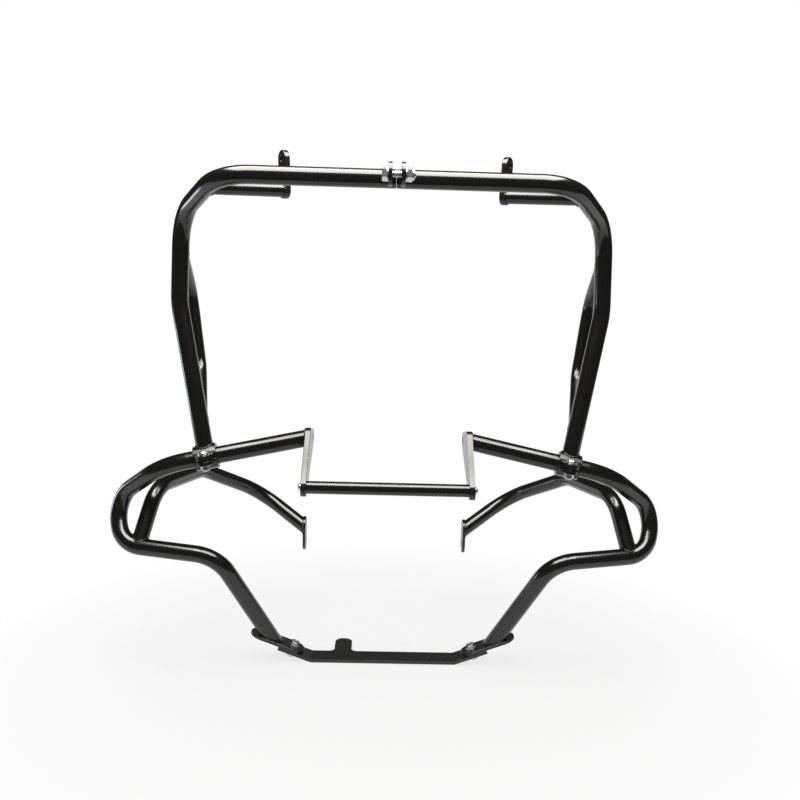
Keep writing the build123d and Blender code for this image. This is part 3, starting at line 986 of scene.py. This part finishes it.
@dataclass
class ClampFasteners:
    """Domed bolts, washers and nuts of the tube clamps.

    Attributes:
        arm_start: Inner end of the left arm's centre line.
        arm_turn: Corner at the arm's outer end.
        clamp_x: Where the clamp sits along X.
        reach: From the clamp's centre to each bolt.
        face: From the split plane to the tongue's outer face.
        size: Size of the bolts.
        dome: Outside diameter, height and socket of the head.
        tail: How far the bolt stands out of the nut.
    """

    arm_start: tuple[float, float, float] = (0.114, -0.05, 0.356)
    arm_turn: tuple[float, float, float] = (0.326, -0.065, 0.312)
    clamp_x: float = 0.264
    reach: float = 25.0 * MM
    face: float = 7.0 * MM
    size: BoltSize = M8
    dome: tuple[float, float, float] = (15.0 * MM, 5.0 * MM, 5.0 * MM)
    tail: float = 1.5 * MM

    def build(self, side: Side, finishes: Finishes) -> None:
        """Models the fasteners of one clamp.

        Args:
            side: The side that the clamp is on.
            finishes: The finishes to dress them in.
        """
        start, turn = side.place(self.arm_start), side.place(self.arm_turn)
        along = (turn - start).normalized()
        share = (self.clamp_x * side.value - start.x) / (turn.x - start.x)
        centre = start.lerp(turn, share)
        up = (Vector((0.0, 0.0, 1.0)) - along * along.z).normalized()
        across = up.cross(along).normalized()
        places = [centre - across * self.reach, centre + across * self.reach]
        stack = self.face + self.size.washer[2]
        length = 2 * stack + self.size.nut + self.tail
        bolt = self.size.under(DomeHead(*self.dome))
        bolts = [bolt.build(f"bolt_{i}", p + up * stack, up, length) for i, p in enumerate(places)]
        piece = Bench.join(side.node("clamp_bolts_detail"), bolts)
        finishes.finish_piece(piece, Slot.ZINC, side.node("clamp_bolts"))
        seats = [p + up * z for p in places for z in (self.face, -stack)]
        piece = self.size.washers(side.node("clamp_washers_detail"), seats, up)
        finishes.finish_piece(piece, Slot.ZINC, side.node("clamp_washers"))
        piece = self.size.nuts(side.node("clamp_nuts_detail"), [p - up * stack for p in places], -up)
        finishes.finish_piece(piece, Slot.ZINC, side.node("clamp_nuts"))


@dataclass
class FootFasteners:
    """Hexagon bolt, washers and nut at each foot plate.

    Attributes:
        seat: Where the bolt's axis meets the face between foot plate and strip.
        slope: Angle of the foot plate above the floor, in degrees.
        plates: Thickness of the foot plate and of the strip.
        size: Size of the bolt.
        head: Height of the head.
        dish: Depth of the dish in the head.
        tail: How far the bolt stands out of the nut.
    """

    seat: tuple[float, float, float] = (0.14022, 0.0, 0.01579)
    slope: float = 20.0
    plates: tuple[float, float] = (5.0 * MM, 5.0 * MM)
    size: BoltSize = M8
    head: float = 5.3 * MM
    dish: float = 0.4 * MM
    tail: float = 1.5 * MM

    def build(self, side: Side, finishes: Finishes) -> None:
        """Models the fasteners of one foot.

        Args:
            side: The side that the foot is on.
            finishes: The finishes to dress them in.
        """
        lean = math.radians(self.slope)
        axis = side.place((-math.sin(lean), 0.0, math.cos(lean)))
        seat = side.place(self.seat)
        top, under = (plate + self.size.washer[2] for plate in self.plates)
        length = top + under + self.size.nut + self.tail
        bolt = self.size.under(HexStock(self.size.flats, self.head, dish=self.dish))
        piece = bolt.build(side.node("foot_bolt_detail"), seat + axis * top, axis, length)
        finishes.finish_piece(piece, Slot.ZINC, side.node("foot_bolt"))
        seats = [seat + axis * self.plates[0], seat - axis * under]
        piece = self.size.washers(side.node("foot_washers_detail"), seats, axis)
        finishes.finish_piece(piece, Slot.ZINC, side.node("foot_washers"))
        piece = self.size.nuts(side.node("foot_nut_detail"), [seat - axis * under], -axis)
        finishes.finish_piece(piece, Slot.ZINC, side.node("foot_nut"))


@dataclass
class RodScrews:
    """Domed screws that hold the cross rod between the drop plates.

    Attributes:
        dome: Outside diameter, height and socket of the head.
        screw: Diameter and pitch of the screw.
        length: Length under the head.
    """

    dome: tuple[float, float, float] = (11.0 * MM, 4.5 * MM, 4.0 * MM)
    screw: tuple[float, float] = (6.0 * MM, 1.0 * MM)
    length: float = 28.0 * MM

    def build(self, side: Side, finishes: Finishes) -> None:
        """Models the screw of one side.

        Args:
            side: The side that the screw is on.
            finishes: The finishes to dress it in.
        """
        low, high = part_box(side.node("rod_screw"))
        plate_low, plate_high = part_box(side.node("drop_plate"))
        seat = (low + high) / 2
        seat.x = plate_high.x if side is Side.LEFT else plate_low.x
        screw = Bolt(DomeHead(*self.dome), Thread(*self.screw))
        piece = screw.build(side.node("rod_screw_detail"), seat, side.place((1.0, 0.0, 0.0)), self.length)
        finishes.finish_piece(piece, Slot.ZINC, side.node("rod_screw"))


@dataclass
class BarPlugs:
    """Thin black plugs that close the facing ends of the top bar.

    Attributes:
        middle: Y and Z of the bar's centre line.
        bar_end: How far a bar's end lies from the middle plane.
        radius: Radius of a plug.
        thickness: How far it stands out of the bar.
        edge: Radius of its soft edge.
    """

    middle: tuple[float, float] = (-150.0 * MM, 716.0 * MM)
    bar_end: float = 1.5 * MM
    radius: float = 12.2 * MM
    thickness: float = 1.2 * MM
    edge: float = 0.5 * MM

    def build(self, side: Side, finishes: Finishes) -> None:
        """Models the plug of one side.

        Args:
            side: The side that the plug is on.
            finishes: The finishes to dress it in.
        """
        half = self.thickness / 2
        piece = Bench.turned(side.node("bar_plug"), Facets.BAR, (self.radius, self.radius), -half, half)
        place = Matrix.Translation((side.value * (self.bar_end - half), *self.middle))
        piece.data.transform(place @ Matrix.Rotation(math.radians(90.0), 4, "Y"))
        Bench.apply_modifier(piece, "BEVEL", width=self.edge, segments=3, limit_method="ANGLE")
        Bench.smooth(piece, 30.0)
        finishes.finish_piece(piece, Slot.TUBE)


@dataclass
class RoundedPlates:
    """Plates and clamp halves with the soft edges that the powder coat leaves.

    Attributes:
        edge: Radius of the softened edge.
        flat: Angle up to which triangles become one face, in degrees.
        sharp: Angle from which an edge is rounded, in degrees.
        plates: Nodes of plates that both sides have.
        clamps: Nodes of clamp halves that both sides have.
    """

    edge: float = 0.9 * MM
    flat: float = 0.6
    sharp: float = 40.0
    plates: tuple[str, ...] = ("mount_tab", "centre_lug", "rear_flange", "drop_plate", "foot_plate")
    clamps: tuple[str, ...] = ("clamp_upper", "clamp_lower")

    def build(self, finishes: Finishes) -> None:
        """Rounds every plate and clamp half.

        Args:
            finishes: The finishes to dress them in.
        """
        for side in Side:
            for name in self.plates:
                finishes.finish_piece(self.soften(side.node(name)), Slot.PLATE, side.node(name))
            for name in self.clamps:
                finishes.finish_piece(self.soften(side.node(name)), Slot.CLAMP, side.node(name))
        finishes.finish_piece(self.soften("bottom_strip"), Slot.PLATE, "bottom_strip")

    def soften(self, node: str) -> bpy.types.Object:
        """Copies a node, merges its triangles into whole faces and rounds its sharp edges.

        Args:
            node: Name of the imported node.

        Returns:
            The rounded copy.
        """
        piece = bpy.data.objects.new(f"{node}_soft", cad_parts[node].data.copy())
        bpy.context.scene.collection.objects.link(piece)
        Bench.take(piece)
        bpy.ops.mesh.customdata_custom_splitnormals_clear()
        bpy.ops.object.mode_set(mode="EDIT")
        bpy.ops.mesh.select_all(action="SELECT")
        bpy.ops.mesh.remove_doubles(threshold=TINY)
        bpy.ops.mesh.dissolve_limited(angle_limit=math.radians(self.flat))
        bpy.ops.object.mode_set(mode="OBJECT")
        Bench.apply_modifier(
            piece,
            "BEVEL",
            width=self.edge,
            segments=3,
            limit_method="ANGLE",
            angle_limit=math.radians(self.sharp),
            use_clamp_overlap=True,
        )
        Bench.smooth(piece, 30.0)
        Bench.apply_modifier(piece, "WEIGHTED_NORMAL", mode="FACE_AREA", keep_sharp=True)
        return piece


@dataclass(frozen=True)
class Seam:
    """Line where a tube is welded to what it stands on, given for the left side.

    Attributes:
        name: Name of the seam.
        foot: Point where the tube's centre line meets the other piece.
        towards: Point further up the tube's centre line.
        radius: Outside radius of the tube.
        target: Node that the tube stands on.
    """

    name: str
    foot: tuple[float, float, float]
    towards: tuple[float, float, float]
    radius: float
    target: str


@dataclass
class WeldBeads:
    """Rippled beads along the welded seams.

    Attributes:
        bead: Radius of the bead.
        ripple: How much the bead swells and narrows.
        step: Length of one ripple.
        points: Points in a ripple, and the fewest points in a seam.
        slant: Length of a slanting seam over the tube's girth.
        drift: How much the ripples differ, and the turn of that from point to point.
        proud: How far the bead's middle stands out of the corner, in radii of the bead.
        above: How far up the tube the search for the seam starts.
        seams: The seams of the left side.
    """

    bead: float = 1.2 * MM
    ripple: float = 0.16
    step: float = 3.0 * MM
    points: tuple[int, int] = (4, 24)
    slant: float = 1.2
    drift: tuple[float, float] = (0.05, 0.7)
    proud: float = 0.22
    above: float = 60.0 * MM
    seams: tuple[Seam, ...] = (
        Seam(
            "mount_stay_root_weld",
            (0.25601, -0.1159, 0.70267),
            (0.15915, -0.05998, 0.70866),
            0.010,
            "upper_tube",
        ),
        Seam("mount_tab_weld", (0.15915, -0.05998, 0.70866), (0.25601, -0.1159, 0.70267), 0.010, "mount_tab"),
        Seam("side_stay_top_weld", (0.307, -0.036, 0.6222), (0.310, 0.048, 0.564), 0.010, "upper_tube"),
        Seam("side_stay_low_weld", (0.2732, -0.05449, 0.36909), (0.292, 0.032, 0.450), 0.010, "upper_tube"),
        Seam("rear_tube_weld", (0.36676, -0.04745, 0.18631), (0.351, 0.0, 0.267), 0.012, "loop_tube"),
        Seam("rear_flange_weld", (0.145, 0.22227, 0.15418), (0.228, 0.260, 0.207), 0.012, "rear_flange"),
        Seam("arm_weld", (0.114, -0.05, 0.356), (0.326, -0.065, 0.312), 0.0125, "drop_plate"),
        Seam("leg_weld", (0.165, 0.006, 0.016), (0.248, -0.060, 0.177), 0.0125, "foot_plate"),
        Seam("clamp_weld", (0.264, -0.06061, 0.32487), (0.310, -0.030, 0.546), 0.0125, "clamp_upper"),
    )

    def build(self, side: Side, finishes: Finishes) -> None:
        """Lays every bead of one side.

        Args:
            side: The side to weld.
            finishes: The finishes to dress the beads in.
        """
        for seam in self.seams:
            ring = self.trace(side, seam)
            finishes.finish_piece(self.lay(side.node(seam.name), ring), Slot.TUBE)

    def trace(self, side: Side, seam: Seam) -> list[Vector]:
        """Follows the line where the tube's outside meets its target.

        Args:
            side: The side to weld.
            seam: The seam to follow.

        Returns:
            Points round the seam, a little way out of the corner.
        """
        foot, far = side.place(seam.foot), side.place(seam.towards)
        axis = (far - foot).normalized()
        first = axis.orthogonal().normalized()
        second = axis.cross(first)
        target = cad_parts[side.node(seam.target)]
        each, fewest = self.points
        count = max(fewest, int(2 * math.pi * seam.radius * self.slant / self.step) * each)
        ring: list[Vector] = []
        for i in range(count):
            turn = 2 * math.pi * i / count
            out = first * math.cos(turn) + second * math.sin(turn)
            start = foot + axis * self.above + out * seam.radius
            hit, place, normal, _ = target.ray_cast(start, -axis)
            if hit:
                ring.append(place + (out + normal) * self.bead * self.proud)
        return ring

    def lay(self, name: str, ring: list[Vector]) -> bpy.types.Object:
        """Lays one bead along a closed line.

        Args:
            name: Name of the piece.
            ring: Points of the line.

        Returns:
            The bead as a mesh.
        """
        guide = Bench.new(bpy.ops.curve.primitive_bezier_circle_add, name)
        curve = guide.data
        curve.splines.clear()
        line = curve.splines.new("POLY")
        line.points.add(len(ring) - 1)
        for i, (point, place) in enumerate(zip(line.points, ring)):
            point.co = (*place, 1.0)
            wave = self.ripple * math.cos(i * 2 * math.pi / self.points[0])
            point.radius = 1.0 + wave + self.drift[0] * math.sin(i * self.drift[1])
        line.use_cyclic_u = True
        curve.dimensions = "3D"
        curve.bevel_depth = self.bead
        curve.bevel_resolution = 2
        Bench.take(guide)
        bpy.ops.object.convert(target="MESH")
        bead = bpy.context.object
        Bench.smooth(bead, 60.0)
        return bead


def grey(level: float) -> tuple[float, float, float, float]:
    """Colour of a plain grey."""
    return level, level, level, 1.0


@dataclass
class Studio:
    """Floor, light and camera of the studio view.

    Attributes:
        eye: Where the camera stands.
        yaw: Turn of the camera towards +X, in degrees.
        pitch: Tilt of the camera below the horizon, in degrees.
        roll: Turn of the picture clockwise, in degrees.
        focal: Focal length in pixels.
        picture: Width in pixels of the picture that the focal length is given for.
        sensor: Width of the camera's sensor in millimetres.
        softbox: Height, middle along Y, width and depth of the large lamp overhead.
        softbox_watts: Power of that lamp.
        highlight_watts: Power of the lamp just above it that only gloss shows.
        warm: Colour of those two lamps.
        window: Place, width and height of the cool lamp at the picture's left.
        window_aim: Point that it shines at.
        window_watts: Power of that lamp.
        cool: Colour of that lamp.
        ground: Height of the floor, just under the lowest piece.
        floor_width: Width of the square floor.
        floor_grey: Level of the floor's own colour.
        floor_white: Share of pure white in the floor as it is seen near the object.
        fade: Distances at which the floor starts to turn white and is white.
        flag_grey: Level of the dark sheets' colour.
        fill: Strength of the light from all round.
    """

    eye: tuple[float, float, float] = (-0.0180, -1.3284, 0.5504)
    yaw: float = 1.479
    pitch: float = 6.084
    roll: float = 1.577
    focal: float = 880.0
    picture: float = 800.0
    sensor: float = 36.0
    softbox: tuple[float, float, float, float] = (1.25, -0.36, 1.2, 0.7)
    softbox_watts: float = 6.0
    highlight_watts: float = 37.0
    warm: tuple[float, float, float] = (1.0, 0.985, 0.93)
    window: tuple[tuple[float, float, float], float, float] = ((-1.3, 0.35, 0.31), 0.3, 0.26)
    window_aim: tuple[float, float, float] = (-0.25, -0.05, 0.45)
    window_watts: float = 2.0
    cool: tuple[float, float, float] = (0.75, 0.86, 1.0)
    ground: float = CAD_BOX[0][2] - 0.4 * MM
    floor_width: float = 16.0
    floor_grey: float = 0.8
    floor_white: float = 0.75
    fade: tuple[float, float] = (0.25, 0.8)
    flag_grey: float = 0.06
    fill: float = 0.65

    def build(self) -> None:
        """Sets up the whole studio."""
        self.floor()
        self.lamps()
        self.flags()
        self.world()
        self.camera()
        bpy.context.scene.view_settings.view_transform = "Standard"

    def sheet(self, name: str, size: tuple[float, float], place: Matrix) -> bpy.types.Object:
        """Adds a flat studio sheet.

        Args:
            name: Name of the sheet.
            size: Width and depth.
            place: Where it goes, facing along its Z.

        Returns:
            The sheet.
        """
        sheet = Bench.new(bpy.ops.mesh.primitive_plane_add, name, size=1.0)
        sheet.data.transform(place @ Matrix.Diagonal((size[0], size[1], 1.0, 1.0)))
        return sheet

    @staticmethod
    def seen_rays(pen: Pen) -> bpy.types.NodeSocket:
        """Adds the test for rays that show the background.

        Args:
            pen: Pen of the tree that needs it.

        Returns:
            1 for camera, glossy and transmission rays, and 0 for others.
        """
        rays = pen.add("ShaderNodeLightPath")
        shown = pen.math("MAXIMUM", rays.outputs["Is Camera Ray"], rays.outputs["Is Glossy Ray"])
        return pen.math("MAXIMUM", shown, rays.outputs["Is Transmission Ray"])

    def floor(self) -> None:
        """Lays the pale floor, which keeps the shadow near the object and goes white further out."""
        place = Matrix.Translation((0.0, 0.0, self.ground))
        floor = self.sheet("floor", (self.floor_width, self.floor_width), place)
        material, pen = Pen.material("studio_floor")
        near = pen.add("ShaderNodeBsdfDiffuse", in_Color=grey(self.floor_grey))
        far = pen.add("ShaderNodeEmission", in_Color=grey(1.0), in_Strength=1.0)
        away = pen.add("ShaderNodeVectorMath", operation="LENGTH")
        pen.link(pen.add("ShaderNodeTexCoord").outputs["Object"], away.inputs[0])
        start, end = self.fade
        fade = pen.add(
            "ShaderNodeMapRange", interpolation_type="SMOOTHSTEP", in_From_Min=start, in_From_Max=end
        )
        pen.link(away.outputs["Value"], fade.inputs["Value"])
        white = pen.spread(fade.outputs["Result"], self.floor_white, 1.0)
        share = pen.math("MULTIPLY", white, self.seen_rays(pen))
        pen.show(pen.mix(share, near.outputs["BSDF"], far.outputs["Emission"]))
        floor.data.materials.append(material)

    def lamp(
        self,
        name: str,
        place: Matrix,
        size: tuple[float, float],
        watts: float,
        colour: tuple[float, float, float],
        only_gloss: bool = False,
    ) -> None:
        """Hangs a rectangular lamp.

        Args:
            name: Name of the lamp.
            place: Where it goes, shining along its minus Z.
            size: Width and height.
            watts: Power.
            colour: Colour of its light.
            only_gloss: Whether it shows in gloss alone and lights no matt surface.
        """
        light = bpy.data.lights.new(name, "AREA")
        light.shape = "RECTANGLE"
        light.size, light.size_y = size
        light.energy = watts
        light.color = colour
        lamp = bpy.data.objects.new(name, light)
        lamp.matrix_world = place
        lamp.visible_camera = False
        lamp.visible_diffuse = not only_gloss
        bpy.context.scene.collection.objects.link(lamp)

    def lamps(self) -> None:
        """Hangs the large lamp overhead, the one that only gloss shows and the cool one at the side."""
        height, middle, *size = self.softbox
        overhead = Matrix.Translation((0.0, middle, height))
        self.lamp("softbox", overhead, size, self.softbox_watts, self.warm)
        above = Matrix.Translation((0.0, middle, height + 10.0 * MM))
        self.lamp("highlight", above, size, self.highlight_watts, self.warm, only_gloss=True)
        place, *size = self.window
        aim = (Vector(self.window_aim) - Vector(place)).to_track_quat("-Z", "Y")
        side = Matrix.Translation(place) @ aim.to_matrix().to_4x4()
        self.lamp("window", side, size, self.window_watts, self.cool)

    def flags(self) -> None:
        """Sets up a dark ceiling, dark screens and a dark card on the floor, which only gloss shows."""
        material, pen = Pen.material("studio_flag")
        cloth = pen.add("ShaderNodeBsdfDiffuse", in_Color=grey(self.flag_grey))
        pen.show(cloth.outputs["BSDF"])
        level = Matrix.Identity(4)
        facing_y = Matrix.Rotation(math.radians(90.0), 4, "X")
        facing_x = Matrix.Rotation(math.radians(90.0), 4, "Y")
        sheets = (
            ("ceiling", (7.0, 7.9), (0.0, 1.55, self.softbox[0] + 50.0 * MM), level),
            ("screen", (7.0, 1.25), (0.0, -2.3, 0.65), facing_y),
            ("left_screen", (1.25, 4.3), (2.2, -0.15, 0.65), facing_x),
            ("right_screen", (1.25, 4.3), (-2.2, -0.15, 0.65), facing_x),
            ("card", (4.4, 1.86), (0.0, -1.36, self.ground + 1.0 * MM), level),
        )
        for name, size, place, turn in sheets:
            flag = self.sheet(name, size, Matrix.Translation(place) @ turn)
            flag.data.materials.append(material)
            flag.visible_camera = flag.visible_shadow = flag.visible_diffuse = False

    def world(self) -> None:
        """Sets the white background and a plain level of light from all round."""
        world = bpy.data.worlds.new("studio_world")
        world.use_nodes = True
        pen = Pen(world.node_tree)
        fill = pen.add("ShaderNodeBackground", in_Color=grey(1.0), in_Strength=self.fill)
        white = pen.add("ShaderNodeBackground", in_Color=grey(1.0), in_Strength=1.0)
        mixed = pen.mix(self.seen_rays(pen), fill.outputs["Background"], white.outputs["Background"])
        pen.show(mixed, "ShaderNodeOutputWorld")
        bpy.context.scene.world = world

    def camera(self) -> None:
        """Puts the camera at the photograph's viewing angle."""
        yaw, pitch, roll = (math.radians(a) for a in (self.yaw, self.pitch, self.roll))
        ahead = Vector((math.sin(yaw) * math.cos(pitch), math.cos(yaw) * math.cos(pitch), -math.sin(pitch)))
        level = Vector((math.cos(yaw), -math.sin(yaw), 0.0))
        above = level.cross(ahead)
        right = level * math.cos(roll) + above * math.sin(roll)
        up = above * math.cos(roll) - level * math.sin(roll)
        view = Matrix((right, up, -ahead)).transposed().to_4x4()
        data = bpy.data.cameras.new("camera")
        data.sensor_width = self.sensor
        data.lens = self.focal / self.picture * self.sensor
        camera = bpy.data.objects.new("camera", data)
        camera.matrix_world = Matrix.Translation(self.eye) @ view
        bpy.context.scene.collection.objects.link(camera)
        bpy.context.scene.camera = camera


def main() -> None:
    """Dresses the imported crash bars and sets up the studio."""
    logging.basicConfig(level=logging.INFO, format="%(name)s: %(message)s")
    finishes = Finishes()
    finishes.build()
    for side in Side:
        WeldBeads().build(side, finishes)
    RoundedPlates().build(finishes)
    CentreJoint().build(finishes)
    for side in Side:
        ClampFasteners().build(side, finishes)
        FootFasteners().build(side, finishes)
        RodScrews().build(side, finishes)
        BarPlugs().build(side, finishes)
    Studio().build()


if __name__ == "__main__":
    main()
